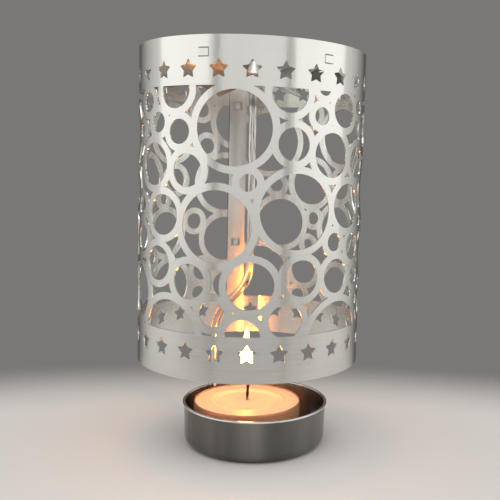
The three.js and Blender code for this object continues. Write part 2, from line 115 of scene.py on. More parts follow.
cup_low, cup_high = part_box("base_cup")
cup_x = (cup_low.x + cup_high.x) / 2
cup_r = (cup_high.x - cup_low.x) / 2 - CUP_BEAD
corner_r = cup_r - CUP_TAPER - CUP_CORNER
corner_z = cup_low.z + CUP_CORNER
bead = CUP_BEAD_HIGH / 2
bead_foot = cup_high.z - CUP_BEAD_HIGH
cup_profile = [
    (0, cup_low.z),
    *arc(corner_r, corner_z, CUP_CORNER, -90, 0, CUP_CORNER_STEPS[0]),
    (cup_r, bead_foot),
    *arc(cup_r + CUP_BEAD - bead, cup_high.z - bead, bead, -90, 90, CUP_BEAD_STEPS[0]),
    *arc(cup_r - CUP_WALL + bead, cup_high.z - bead, bead, 90, 180, CUP_BEAD_STEPS[1]),
    *arc(corner_r, corner_z, CUP_CORNER - CUP_WALL, 0, -90, CUP_CORNER_STEPS[1]),
    (0, cup_low.z + CUP_WALL),
]
cup = turned("cup", cup_profile, CUP_ROUND, cup_x)
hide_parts("base_cup")
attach(cup, "base")


def linear(code):
    """An sRGB hex colour as the linear values that shaders use."""
    parts = [int(code[i:i + 2], 16) / 255 for i in (1, 3, 5)]
    return (*[p / 12.92 if p <= 0.04045 else ((p + 0.055) / 1.055) ** 2.4 for p in parts], 1.0)


def add_node(tree, kind, settings=(), inputs=(), links=()):
    """One shader node with its settings, input values and incoming links."""
    node = tree.nodes.new(kind)
    for name, value in dict(settings).items():
        setattr(node, name, value)
    for name, value in dict(inputs).items():
        node.inputs[name].default_value = value
    for name, socket in dict(links).items():
        tree.links.new(socket, node.inputs[name])
    return node


BRUSH_STRETCH = 0.8
BRUSH_DULL = 0.07
BRUSH_RELIEF = 0.06
BRUSH_DEPTH = 0.1 * MM
MARK_WIDE = 14 * MM
MARK_UPRIGHT = (1, 1, 0.1)


def satin_steel(name, tone, roughness, grain, along, spread=0.25, marks=0.1):
    """Stainless steel, brushed to a satin finish. The eye sees reflections stretched across the brushing,
    faint streaks and soft upright marks of the forming. The real streaks are finer than a picture point,
    so they are drawn at the grain given. A spread of a quarter turn stretches the reflections upright,
    and none stretches them round. Strong marks paint upright light and dark bands into the tone, as
    painted reflections."""
    made = bpy.data.materials.new(name)
    made.use_nodes = True
    tree = made.node_tree
    shader = tree.nodes["Principled BSDF"]
    shader.inputs["Metallic"].default_value = 1.0
    shader.inputs["Anisotropic"].default_value = BRUSH_STRETCH
    shader.inputs["Anisotropic Rotation"].default_value = spread
    place = add_node(tree, "ShaderNodeTexCoord")
    stretch = add_node(tree, "ShaderNodeMapping", inputs={"Scale": [a / grain for a in along]},
                       links={"Vector": place.outputs["Object"]})
    streaks = add_node(tree, "ShaderNodeTexNoise", inputs={"Scale": 1.0, "Detail": 4.0, "Roughness": 0.6},
                       links={"Vector": stretch.outputs["Vector"]})
    upright = add_node(tree, "ShaderNodeMapping", inputs={"Scale": MARK_UPRIGHT},
                       links={"Vector": place.outputs["Object"]})
    forming = add_node(tree, "ShaderNodeTexNoise", inputs={"Scale": 1 / MARK_WIDE, "Detail": 2.0},
                       links={"Vector": upright.outputs["Vector"]})
    dull = add_node(tree, "ShaderNodeMapRange",
                    inputs={"To Min": roughness - BRUSH_DULL, "To Max": roughness + BRUSH_DULL},
                    links={"Value": streaks.outputs["Fac"]})
    # The upright marks scale the tone; when they are strong, they paint bands of reflection.
    tint = add_node(tree, "ShaderNodeMapRange", inputs={"To Min": 1 - marks, "To Max": 1 + marks},
                    links={"Value": forming.outputs["Fac"]})
    shade = add_node(tree, "ShaderNodeMix", {"data_type": 'RGBA', "blend_type": 'MULTIPLY'},
                     {"Factor": 1.0, "A": linear(tone)}, {"B": tint.outputs["Result"]})
    relief = add_node(tree, "ShaderNodeBump", inputs={"Strength": BRUSH_RELIEF, "Distance": BRUSH_DEPTH},
                      links={"Height": streaks.outputs["Fac"]})
    around = add_node(tree, "ShaderNodeTangent", {"direction_type": 'RADIAL', "axis": 'Z'})
    tree.links.new(shade.outputs["Result"], shader.inputs["Base Color"])
    tree.links.new(dull.outputs["Result"], shader.inputs["Roughness"])
    tree.links.new(relief.outputs["Normal"], shader.inputs["Normal"])
    tree.links.new(around.outputs["Tangent"], shader.inputs["Tangent"])
    return made


def select_where(piece, test):
    """In edit mode, selects the faces whose middles pass the test."""
    bpy.ops.object.mode_set(mode='OBJECT')
    for part in (piece.data.vertices, piece.data.edges):
        part.foreach_set("select", [False] * len(part))
    for face in piece.data.polygons:
        face.select = test(face)
    bpy.ops.object.mode_set(mode='EDIT')
    bpy.ops.mesh.select_mode(type='FACE')


# The cup is one steel in three painted tones. Its outside is painted dark as painted shade, and its
# strong upright marks paint light and dark bands on it as painted reflections. The inside is painted
# in a lighter tone than the outside, so that it takes up the candle's glow, and the bead is painted
# palest as a painted highlight, so that it shines as a thin pale line.
CUP_GRAIN = 0.5 * MM
ROUND_CUP = (0.06, 0.06, 1)
cup.data.materials.append(satin_steel("steel_outside_painted_shade", "#737270", 0.22, CUP_GRAIN, ROUND_CUP,
                                      marks=1.0))
cup.data.materials.append(satin_steel("steel_inside_painted_lighter", "#b6b4af", 0.2, CUP_GRAIN, ROUND_CUP))
cup.data.materials.append(satin_steel("steel_bead_painted_highlight", "#dcdad5", 0.2, CUP_GRAIN, ROUND_CUP))
bpy.context.view_layer.objects.active = cup
cup_middle = (cup_low + cup_high) / 2
select_where(cup, lambda face: face.normal.dot(face.center - cup_middle) < 0)
cup.active_material_index = 1
bpy.ops.object.material_slot_assign()
select_where(cup, lambda face: face.center.z > bead_foot)
cup.active_material_index = 2
bpy.ops.object.material_slot_assign()
bpy.ops.mesh.select_mode(type='VERT')
bpy.ops.object.mode_set(mode='OBJECT')

# Rod. Round stainless wire, welded inside the cup's wall. It rises, crosses to the turning axis
# in an S and ends in a ground needle, on which the rotor balances.
ROD_D = 2.8 * MM
ROD_BEND = (35 * MM, 65 * MM)
ROD_EASE = 15 * MM
NEEDLE = 7 * MM
NEEDLE_TIP = 0.25 * MM
ROD_ROUND = 6
ROD_SMOOTH = 24
ROD_GRAIN = 0.4 * MM
ALONG_ROD = (1, 1, 0.06)

rod_low, rod_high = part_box("stem")
leg_x = rod_low.x + ROD_D / 2
leg_y = rod_high.y - ROD_D / 2
needle_foot = rod_high.z - NEEDLE
route = [(leg_x, leg_y, rod_low.z), (leg_x, leg_y, ROD_BEND[0]), (0, 0, ROD_BEND[1]), (0, 0, needle_foot)]
bpy.ops.object.select_all(action='DESELECT')
bpy.ops.curve.primitive_bezier_curve_add(location=(0, 0, 0))
rod = bpy.context.object
rod.name = "rod"
bends = rod.data.splines[0].bezier_points
bends.add(len(route) - len(bends))
for bend, at in zip(bends, route):
    bend.handle_left_type = bend.handle_right_type = 'FREE'
    bend.co = at
    bend.handle_left = (at[0], at[1], at[2] - ROD_EASE)
    bend.handle_right = (at[0], at[1], at[2] + ROD_EASE)
rod.data.dimensions = '3D'
rod.data.bevel_depth = ROD_D / 2
rod.data.bevel_resolution = ROD_ROUND
rod.data.resolution_u = ROD_SMOOTH
rod.data.use_fill_caps = True
bpy.ops.object.convert(target='MESH')

bpy.ops.object.mode_set(mode='EDIT')
bpy.ops.mesh.select_all(action='SELECT')
bpy.ops.mesh.remove_doubles(threshold=MERGE)
select_where(rod, lambda face: face.center.z > needle_foot - MERGE)
bpy.ops.mesh.extrude_region_move(TRANSFORM_OT_translate={"value": (0, 0, NEEDLE)})
shrink = NEEDLE_TIP / (ROD_D / 2)
bpy.ops.transform.resize(value=(shrink, shrink, 1), center_override=(0, 0, rod_high.z))
bpy.ops.mesh.select_all(action='SELECT')
bpy.ops.mesh.normals_make_consistent(inside=False)
bpy.ops.mesh.select_mode(type='VERT')
bpy.ops.object.mode_set(mode='OBJECT')
bpy.ops.object.shade_smooth_by_angle(angle=radians(SMOOTH_ANGLE))
rod.data.materials.append(satin_steel("drawn_steel_wire", "#c9c7c2", 0.16, ROD_GRAIN, ALONG_ROD, spread=0))
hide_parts("stem")
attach(rod, "base")

# Tealight cup. A clear cup, moulded from polycarbonate, so thin that the wax shows through it.
# It stands loose on the floor of the steel cup, and the wax was poured into it.
CLEAR_WALL = 0.4 * MM
CLEAR_CORNER = 0.8 * MM
CLEAR_CORNER_STEPS = (5, 4)
CLEAR_EDGE_STEPS = 6
TEALIGHT_ROUND = 96
FLOW_MARK = 5 * MM

clear_low, clear_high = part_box("tealight_cup")
tea_x = (clear_low.x + clear_high.x) / 2
tea_r = (clear_high.x - clear_low.x) / 2
edge = CLEAR_WALL / 2
clear_profile = [
    (0, clear_low.z),
    *arc(tea_r - CLEAR_CORNER, clear_low.z + CLEAR_CORNER, CLEAR_CORNER, -90, 0, CLEAR_CORNER_STEPS[0]),
    *arc(tea_r - edge, clear_high.z - edge, edge, 0, 180, CLEAR_EDGE_STEPS),
    *arc(tea_r - CLEAR_CORNER, clear_low.z + CLEAR_CORNER, CLEAR_CORNER - CLEAR_WALL, 0, -90,
         CLEAR_CORNER_STEPS[1]),
    (0, clear_low.z + CLEAR_WALL),
]
clear_cup = turned("clear_cup", clear_profile, TEALIGHT_ROUND, tea_x)


def clear_polycarbonate():
    """Clear moulded plastic with a slight warm cast. The eye sees the wax through it, a little blurred,
    and faint flow marks."""
    made = bpy.data.materials.new("clear_polycarbonate")
    made.use_nodes = True
    tree = made.node_tree
    shader = tree.nodes["Principled BSDF"]
    shader.inputs["Base Color"].default_value = linear("#f2dcc2")
    shader.inputs["IOR"].default_value = 1.58
    shader.inputs["Transmission Weight"].default_value = 0.75
    place = add_node(tree, "ShaderNodeTexCoord")
    flow = add_node(tree, "ShaderNodeTexNoise", inputs={"Scale": 1 / FLOW_MARK, "Detail": 2.0},
                    links={"Vector": place.outputs["Object"]})
    haze = add_node(tree, "ShaderNodeMapRange", inputs={"To Min": 0.12, "To Max": 0.28},
                    links={"Value": flow.outputs["Fac"]})
    tree.links.new(haze.outputs["Result"], shader.inputs["Roughness"])
    return made


clear_cup.data.materials.append(clear_polycarbonate())
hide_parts("tealight_cup")
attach(clear_cup, "tealight")

# Wax. Paraffin poured into the clear cup round the wick. The flame has melted a shallow pool with
# a raised shore, and its light goes deep into the wax, where a glow round the wick is painted in.
WAX_GAP = 0.04 * MM
WAX_EDGE = 0.5 * MM
WICK_HOLE = 0.62 * MM
POOL_R = 12.7 * MM
POOL_DEEP = 0.6 * MM
SHORE = 2.4 * MM
RIDGE = 0.15 * MM
RIDGE_WIDE = 1.6 * MM
SHORE_STEPS = 12
RIDGE_STEPS = 8
WAX_EDGE_STEPS = 5
POOL_DISH = 0.05 * MM
MENISCUS = ((WICK_HOLE, 0.3 * MM), (1.0 * MM, 0.15 * MM), (2.0 * MM, 0))
FOOT_SHEET = 0.4 * MM
COLLAR_R = 1.2 * MM
WAX_MOTTLE = 4 * MM

wax_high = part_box("tealight_wax")[1]
wax_r = tea_r - CLEAR_WALL - WAX_GAP
wax_floor = clear_low.z + CLEAR_WALL + WAX_GAP
pool_z = wax_high.z - POOL_DEEP
shore_steps = []
for i in range(SHORE_STEPS + 1):
    rise = 0.5 - 0.5 * cos(pi * i / SHORE_STEPS)
    shore_steps.append((POOL_R - SHORE + SHORE * i / SHORE_STEPS, pool_z + (POOL_DEEP + RIDGE) * rise))
for i in range(1, RIDGE_STEPS + 1):
    fall = 0.5 - 0.5 * cos(pi * i / RIDGE_STEPS)
    shore_steps.append((POOL_R + RIDGE_WIDE * i / RIDGE_STEPS, wax_high.z + RIDGE - 2 * RIDGE * fall))
foot_low, foot_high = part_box("wick_foot")
foot_r = (foot_high.x - foot_low.x) / 2 + WAX_GAP
foot_top = foot_low.z + FOOT_SHEET + WAX_GAP
collar_r = COLLAR_R + WAX_GAP
collar_top = foot_high.z + WAX_GAP
wax_profile = [
    (WICK_HOLE, collar_top),
    *[(r, pool_z + rise) for r, rise in MENISCUS],
    (POOL_R / 2, pool_z - POOL_DISH),
    *shore_steps,
    *arc(wax_r - WAX_EDGE, wax_high.z - RIDGE / 2 - WAX_EDGE, WAX_EDGE, 90, 0, WAX_EDGE_STEPS),
    *arc(wax_r - CLEAR_CORNER, wax_floor + CLEAR_CORNER, CLEAR_CORNER, 0, -90, CLEAR_CORNER_STEPS[1]),
    (foot_r, wax_floor),
    (foot_r, foot_top),
    (collar_r, foot_top),
    (collar_r, collar_top),
    (WICK_HOLE, collar_top),
]
wax = turned("wax", wax_profile, TEALIGHT_ROUND, tea_x)


def paraffin():
    """Warm white paraffin. The flame's glow in it is painted: the base tone is painted lighter round the
    wick, and the wax gives off a painted glow, strongest round the wick. The pool and its shore are wet
    and glossy, and the rim outside them is dull."""
    made = bpy.data.materials.new("paraffin_wax")
    made.use_nodes = True
    tree = made.node_tree
    shader = tree.nodes["Principled BSDF"]
    shader.inputs["IOR"].default_value = 1.44
    shader.inputs["Subsurface Weight"].default_value = 0.35
    shader.inputs["Subsurface Radius"].default_value = (1.0, 0.55, 0.28)
    shader.inputs["Subsurface Scale"].default_value = 3 * MM
    shader.inputs["Emission Strength"].default_value = 0.25
    place = add_node(tree, "ShaderNodeTexCoord")
    centre = add_node(tree, "ShaderNodeMapping", {"vector_type": 'POINT'},
                      {"Location": (-tea_x, 0, -wax_high.z), "Scale": (1, 1, 1.6)},
                      {"Vector": place.outputs["Object"]})
    reach = add_node(tree, "ShaderNodeVectorMath", {"operation": 'LENGTH'},
                     links={"Vector": centre.outputs["Vector"]})
    near = add_node(tree, "ShaderNodeMapRange", {"interpolation_type": 'SMOOTHSTEP'},
                    {"From Min": 0.0, "From Max": tea_r}, {"Value": reach.outputs["Value"]})
    # Painted glow: the tone is painted lighter near the wick, and the wax gives off painted light that
    # fades and darkens towards the rim.
    painted_glow_tone = add_node(tree, "ShaderNodeValToRGB", links={"Fac": near.outputs["Result"]})
    painted_glow_tone.color_ramp.elements[0].color = linear("#e8cdbc")
    painted_glow_tone.color_ramp.elements[1].color = linear("#e2c4b0")
    glow = add_node(tree, "ShaderNodeValToRGB", links={"Fac": near.outputs["Result"]})
    glow.color_ramp.elements[0].color = linear("#ffb48c")
    glow.color_ramp.elements[1].color = linear("#b0602e")
    mottle = add_node(tree, "ShaderNodeTexNoise", inputs={"Scale": 1 / WAX_MOTTLE, "Detail": 3.0},
                      links={"Vector": place.outputs["Object"]})
    wet = add_node(tree, "ShaderNodeMapRange", {"interpolation_type": 'SMOOTHSTEP'},
                   {"From Min": POOL_R + RIDGE_WIDE, "From Max": POOL_R + 2 * RIDGE_WIDE,
                    "To Min": 0.08, "To Max": 0.4}, {"Value": reach.outputs["Value"]})
    relief = add_node(tree, "ShaderNodeBump", inputs={"Strength": 0.12, "Distance": 0.2 * MM},
                      links={"Height": mottle.outputs["Fac"]})
    tree.links.new(painted_glow_tone.outputs["Color"], shader.inputs["Base Color"])
    tree.links.new(glow.outputs["Color"], shader.inputs["Emission Color"])
    tree.links.new(wet.outputs["Result"], shader.inputs["Roughness"])
    tree.links.new(relief.outputs["Normal"], shader.inputs["Normal"])
    return made


wax.data.materials.append(paraffin())
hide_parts("tealight_wax")
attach(wax, "tealight")

# Foot of the wick. A disc with a collar, stamped from tinned steel and crimped on the wick.
# It stands on the floor of the clear cup, covered by the wax, so the CAD solid only gets a finish.
FOOT_GRAIN = 0.4 * MM
ACROSS_FOOT = (1, 0.2, 1)

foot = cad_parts["wick_foot"]
foot.data.materials.clear()
foot.data.materials.append(satin_steel("tinned_steel", "#b9b7b2", 0.4, FOOT_GRAIN, ACROSS_FOOT))

# Wick. A cord of braided cotton, held by the collar of its foot. Where it stands out of the wax
# it is charred black, and its tip leans over a little.
WICK_D = 1.0 * MM
WICK_START = 1.0 * MM
WICK_LEAN = 0.35 * MM
WICK_LEAN_FROM = 2 / 3
WICK_PLAITS = 7
PLAIT_SWELL = 0.14
WICK_STEPS = 40
WICK_ROUND = 3
WICK_SMOOTH_ANGLE = 50
FIBRE = 0.3 * MM

wick_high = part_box("wick")[1]
wick_foot_z = wax_floor + WICK_START
wick_route = []
for i in range(WICK_STEPS + 1):
    share = i / WICK_STEPS
    lean = WICK_LEAN * max(0, (share - WICK_LEAN_FROM) / (1 - WICK_LEAN_FROM)) ** 2
    wick_route.append((tea_x + lean, 0, wick_foot_z + (wick_high.z - wick_foot_z) * share))
bpy.ops.object.select_all(action='DESELECT')
bpy.ops.curve.primitive_nurbs_path_add(location=(0, 0, 0))
wick = bpy.context.object
wick.name = "wick_cord"
wick_line = wick.data.splines[0]
wick_line.points.add(len(wick_route) - len(wick_line.points))
for i, (point, at) in enumerate(zip(wick_line.points, wick_route)):
    point.co = (*at, 1)
    point.radius = 1 + PLAIT_SWELL * sin(2 * pi * WICK_PLAITS * i / WICK_STEPS)
wick_line.use_endpoint_u = True
wick_line.resolution_u = WICK_ROUND
wick.data.dimensions = '3D'
wick.data.bevel_depth = WICK_D / 2
wick.data.bevel_resolution = WICK_ROUND
wick.data.use_fill_caps = True
bpy.ops.object.convert(target='MESH')
bpy.ops.object.shade_smooth_by_angle(angle=radians(WICK_SMOOTH_ANGLE))


def charred_cotton():
    """Braided cotton. The eye sees it pale in the wax, burnt black and rough above it, and still glowing
    at the tip. The fibres are drawn coarser than real ones, so that they show."""
    made = bpy.data.materials.new("charred_cotton")
    made.use_nodes = True
    tree = made.node_tree
    shader = tree.nodes["Principled BSDF"]
    shader.inputs["Roughness"].default_value = 0.9
    shader.inputs["Emission Strength"].default_value = 1.0
    place = add_node(tree, "ShaderNodeTexCoord")
    split = add_node(tree, "ShaderNodeSeparateXYZ", links={"Vector": place.outputs["Object"]})
    height = add_node(tree, "ShaderNodeMapRange",
                      inputs={"From Min": pool_z - WICK_D, "From Max": wick_high.z},
                      links={"Value": split.outputs["Z"]})
    burnt = add_node(tree, "ShaderNodeValToRGB", links={"Fac": height.outputs["Result"]})
    burnt.color_ramp.elements[0].color = linear("#c9b48e")
    burnt.color_ramp.elements[1].color = linear("#120d0b")
    burnt.color_ramp.elements[1].position = 0.35
    ember = add_node(tree, "ShaderNodeValToRGB", links={"Fac": height.outputs["Result"]})
    ember.color_ramp.elements[0].color = linear("#000000")
    ember.color_ramp.elements[0].position = 0.8
    ember.color_ramp.elements[1].color = linear("#7a2408")
    fibres = add_node(tree, "ShaderNodeTexNoise", inputs={"Scale": 1 / FIBRE},
                      links={"Vector": place.outputs["Object"]})
    relief = add_node(tree, "ShaderNodeBump", inputs={"Strength": 0.6, "Distance": 0.1 * MM},
                      links={"Height": fibres.outputs["Fac"]})
    tree.links.new(burnt.outputs["Color"], shader.inputs["Base Color"])
    tree.links.new(ember.outputs["Color"], shader.inputs["Emission Color"])
    tree.links.new(relief.outputs["Normal"], shader.inputs["Normal"])
    return made


wick.data.materials.append(charred_cotton())
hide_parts("wick")
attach(wick, "tealight")

# Flame. Wax vapour that burns round the upper part of the wick, a slim drop with its belly low down.
# It drifts a little to one side, and it lights the wax, the rod and the inside of the lantern.
FLAME_LOW = 6 * MM
FLAME_HIGH = 21.3 * MM
FLAME_R = 2.8 * MM
FLAME_DRIFT = -0.6 * MM
FLAME_BELLY = 0.62
FLAME_FULL = 0.75
FLAME_SLIM = 0.25
FLAME_STEPS = 24
FLAME_ROUND = 48

flame_foot = pool_z + FLAME_LOW
flame_shape = [(0, flame_foot)]
for i in range(1, FLAME_STEPS):
    share = i / FLAME_STEPS
    bulge = FLAME_R * sin(pi * share ** FLAME_BELLY) ** FLAME_FULL * (1 - FLAME_SLIM * share)
    flame_shape.append((bulge, flame_foot + FLAME_HIGH * share))
flame_shape.append((0, flame_foot + FLAME_HIGH))
flame = turned("flame", flame_shape, FLAME_ROUND, tea_x + FLAME_DRIFT)


def burning_vapour():
    """Light without a surface. It is so bright that it looks near white, and its orange shows in what
    it lights."""
    made = bpy.data.materials.new("burning_vapour")
    made.use_nodes = True
    tree = made.node_tree
    shader = tree.nodes["Principled BSDF"]
    shader.inputs["Base Color"].default_value = linear("#000000")
    shader.inputs["Roughness"].default_value = 1.0
    shader.inputs["Specular IOR Level"].default_value = 0.0
    shader.inputs["Emission Strength"].default_value = 75.0
    place = add_node(tree, "ShaderNodeTexCoord")
    split = add_node(tree, "ShaderNodeSeparateXYZ", links={"Vector": place.outputs["Object"]})
    height = add_node(tree, "ShaderNodeMapRange",
                      inputs={"From Min": flame_foot, "From Max": flame_foot + FLAME_HIGH},
                      links={"Value": split.outputs["Z"]})
    heat = add_node(tree, "ShaderNodeValToRGB", links={"Fac": height.outputs["Result"]})
    heat.color_ramp.elements[0].color = linear("#8a3a10")
    heat.color_ramp.elements[1].color = linear("#ff741c")
    heat.color_ramp.elements.new(0.35).color = linear("#ff9c36")
    heat.color_ramp.elements.new(0.75).color = linear("#ff902c")
    tree.links.new(heat.outputs["Color"], shader.inputs["Emission Color"])
    return made


flame.data.materials.append(burning_vapour())
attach(flame, "tealight")

# Rotor. Stamped from thin steel: a hub with a pressed pocket that sits on the needle, and blades
# twisted out of the sheet. Each blade ends in an upright ear that takes a tongue of the lantern.
BLADES = 6
BLADE_FIRST = 37.5
BLADE_PITCH = 30
ROTOR_SHEET = 0.45 * MM
HUB_R = 9 * MM
POCKET_R = 3.4 * MM
POCKET_TIP_R = 0.7 * MM
POCKET_HIGH = 5 * MM
NECK = 4.6 * MM
BLADE_ROOT = (13 * MM, 9 * MM)
BLADE_END = (31 * MM, 17 * MM)
EAR_WIDE = 6.4 * MM
EAR_HIGH = 5.5 * MM
EAR_FRAME = 1.2 * MM
EAR_FLAT = 1.2 * MM
HUB_LAP = 1.0 * MM
NECK_LONG = 0.6 * MM
NECK_SPREAD = 1.0 * MM
ROOT_ROUND = (0.6 * MM, 1.6 * MM)
END_ROUND = (0.7 * MM, 1.8 * MM)
POCKET_LEAN = 0.7
HUB_ROUND = 72
BLADE_EDGE = 0.08 * MM
BLADE_EDGE_ANGLE = 50
BLADE_SMOOTH_ANGLE = 40
UPRIGHT = 0.2
ROTOR_GRAIN = 0.5 * MM
ACROSS_ROTOR = (1, 0.06, 0.06)

rotor_low, rotor_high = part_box("rotor")
arm_z = rotor_high.z - POCKET_HIGH - ROTOR_SHEET
fold = ROTOR_SHEET * POCKET_LEAN
hub_profile = [
    (0, arm_z + POCKET_HIGH), (POCKET_TIP_R, arm_z + POCKET_HIGH), (POCKET_R, arm_z), (HUB_R, arm_z),
    (HUB_R, arm_z + ROTOR_SHEET), (POCKET_R + fold, arm_z + ROTOR_SHEET),
    (POCKET_TIP_R + fold, arm_z + POCKET_HIGH + ROTOR_SHEET), (0, arm_z + POCKET_HIGH + ROTOR_SHEET),
]
rotor = turned("rotor_wheel", hub_profile, HUB_ROUND)

ear_r = (rotor_high.x - rotor_low.x) / 2 - ROTOR_SHEET / 2
# Radius, width and twist along a blade, from under the hub to the ear.
sections = [
    (HUB_R - HUB_LAP, NECK, 0),
    (HUB_R + NECK_LONG, NECK, 0),
    ((HUB_R + BLADE_ROOT[0]) / 2, NECK + NECK_SPREAD, BLADE_PITCH / 2),
    (BLADE_ROOT[0] - ROOT_ROUND[0], BLADE_ROOT[1] - ROOT_ROUND[1], BLADE_PITCH),
    (*BLADE_ROOT, BLADE_PITCH),
    (*BLADE_END, BLADE_PITCH),
    (BLADE_END[0] + END_ROUND[0], BLADE_END[1] - END_ROUND[1], BLADE_PITCH),
    ((BLADE_END[0] + ear_r) / 2, EAR_WIDE, BLADE_PITCH / 2),
    (ear_r - EAR_FLAT, EAR_WIDE, 0),
    (ear_r, EAR_WIDE, 0),
]


def finished(piece, kind, **settings):
    """Adds a modifier to a piece and applies it."""
    bpy.ops.object.select_all(action='DESELECT')
    piece.select_set(True)
    bpy.context.view_layer.objects.active = piece
    step = piece.modifiers.new(kind.title(), kind)
    for name, value in settings.items():
        setattr(step, name, value)
    bpy.ops.object.modifier_apply(modifier=step.name)


half_sheet = arm_z + ROTOR_SHEET / 2
r, width, twist = sections[0]
blade = drawn("blade", [(-width / 2, -r, half_sheet), (width / 2, -r, half_sheet)])
for next_r, next_width, next_twist in sections[1:]:
    bpy.ops.mesh.extrude_region_move(TRANSFORM_OT_translate={"value": (0, r - next_r, 0)})
    middle = (0, -next_r, half_sheet)
    bpy.ops.transform.rotate(value=radians(next_twist - twist), orient_axis='Y', center_override=middle)
    grow = next_width / width
    bpy.ops.transform.resize(value=(grow, 1, grow), center_override=middle)
    r, width, twist = next_r, next_width, next_twist
bpy.ops.mesh.extrude_region_move(TRANSFORM_OT_translate={"value": (0, 0, EAR_HIGH)})
ear_low = half_sheet + EAR_HIGH / 3
select_where(blade, lambda face: abs(face.normal.z) < UPRIGHT and face.center.z > ear_low)
bpy.ops.mesh.inset(thickness=EAR_FRAME)
bpy.ops.mesh.delete(type='FACE')
bpy.ops.mesh.select_all(action='SELECT')
bpy.ops.mesh.normals_make_consistent(inside=False)
bpy.ops.mesh.select_mode(type='VERT')
bpy.ops.object.mode_set(mode='OBJECT')
finished(blade, 'SOLIDIFY', thickness=ROTOR_SHEET, offset=0)
finished(blade, 'BEVEL', width=BLADE_EDGE, segments=2, limit_method='ANGLE',
         angle_limit=radians(BLADE_EDGE_ANGLE))
bpy.ops.object.shade_smooth_by_angle(angle=radians(BLADE_SMOOTH_ANGLE))
blade_copies = [blade]
for i in range(1, BLADES):
    copy = blade.copy()
    copy.data = blade.data.copy()
    bpy.context.collection.objects.link(copy)
    blade_copies.append(copy)
for i, copy in enumerate(blade_copies):
    copy.rotation_euler.z = radians(BLADE_FIRST + 360 / BLADES * i)


def joined(first, *others):
    """One object of several, with its place in its mesh."""
    bpy.ops.object.select_all(action='DESELECT')
    for part in (first, *others):
        part.select_set(True)
        bpy.context.view_layer.objects.active = part
        bpy.ops.object.transform_apply(location=True, rotation=True, scale=True)
    bpy.context.view_layer.objects.active = first
    bpy.ops.object.join()
    return first


joined(rotor, *blade_copies)
rotor.data.materials.append(satin_steel("satin_steel_stamped", "#bdbbb6", 0.3, ROTOR_GRAIN, ACROSS_ROTOR))
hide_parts("rotor")
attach(rotor, "spinner")

# Lantern. One stainless sheet, pierced flat with windows, gaps and two rows of stars, then rolled.
# Its ends lap at the back, and tongues bent out of it hook into the lap and into the rotor's ears.
LANTERN_R = 38.6 * MM
SHEET = 0.45 * MM
FIT = 0.3 * MM
TOP_BAND = 14.8 * MM
BOTTOM_BAND = 14.7 * MM
ROLL_STEPS = 160
LAP_AT = -170.4
LAP_WIDE = 7 * MM
LAP_STEP = 6 * MM
LAP_ROLL_STEPS = 6

lantern_low, lantern_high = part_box("lantern")
bottom, top = lantern_low.z, lantern_high.z


def round_axis(azimuth, radius, z):
    """The point at an azimuth from the front, counted towards +X."""
    return (radius * sin(radians(azimuth)), -radius * cos(radians(azimuth)), z)


def rolled(name, start, end, radius, low, high, steps):
    """A sheet rolled from one azimuth to another, left in edit mode with its last edge selected."""
    sheet = drawn(name, [round_axis(start, radius, low), round_axis(start, radius, high)])
    bpy.ops.mesh.spin(steps=steps, angle=radians(start - end), center=(0, 0, 0), axis=(0, 0, 1))
    return sheet


def walled(wall, thick):
    """Gives a rolled sheet its thickness, towards the axis."""
    bpy.ops.mesh.select_all(action='SELECT')
    bpy.ops.mesh.remove_doubles(threshold=MERGE)
    bpy.ops.mesh.normals_make_consistent(inside=False)
    bpy.ops.object.mode_set(mode='OBJECT')
    first = wall.data.polygons[0]
    if first.normal.dot(first.center) < 0:
        bpy.ops.object.mode_set(mode='EDIT')
        bpy.ops.mesh.flip_normals()
        bpy.ops.object.mode_set(mode='OBJECT')
    finished(wall, 'SOLIDIFY', thickness=thick, offset=-1)


lap_half = degrees(LAP_WIDE / 2 / LANTERN_R)
outer_end = LAP_AT - lap_half
inner_end = LAP_AT + lap_half + 360
step_end = outer_end + 360 - degrees(FIT / LANTERN_R)
step_start = step_end - degrees(LAP_STEP / LANTERN_R)
sunk = LANTERN_R - SHEET - FIT

lantern = rolled("lantern_sheet", outer_end, step_start, LANTERN_R, bottom, top, ROLL_STEPS)
step = [b - a for a, b in zip(round_axis(step_start, LANTERN_R, 0), round_axis(step_end, sunk, 0))]
bpy.ops.mesh.extrude_region_move(TRANSFORM_OT_translate={"value": step})
lap_turn = radians(step_end - inner_end)
bpy.ops.mesh.spin(steps=LAP_ROLL_STEPS, angle=lap_turn, center=(0, 0, 0), axis=(0, 0, 1))
walled(lantern, SHEET)

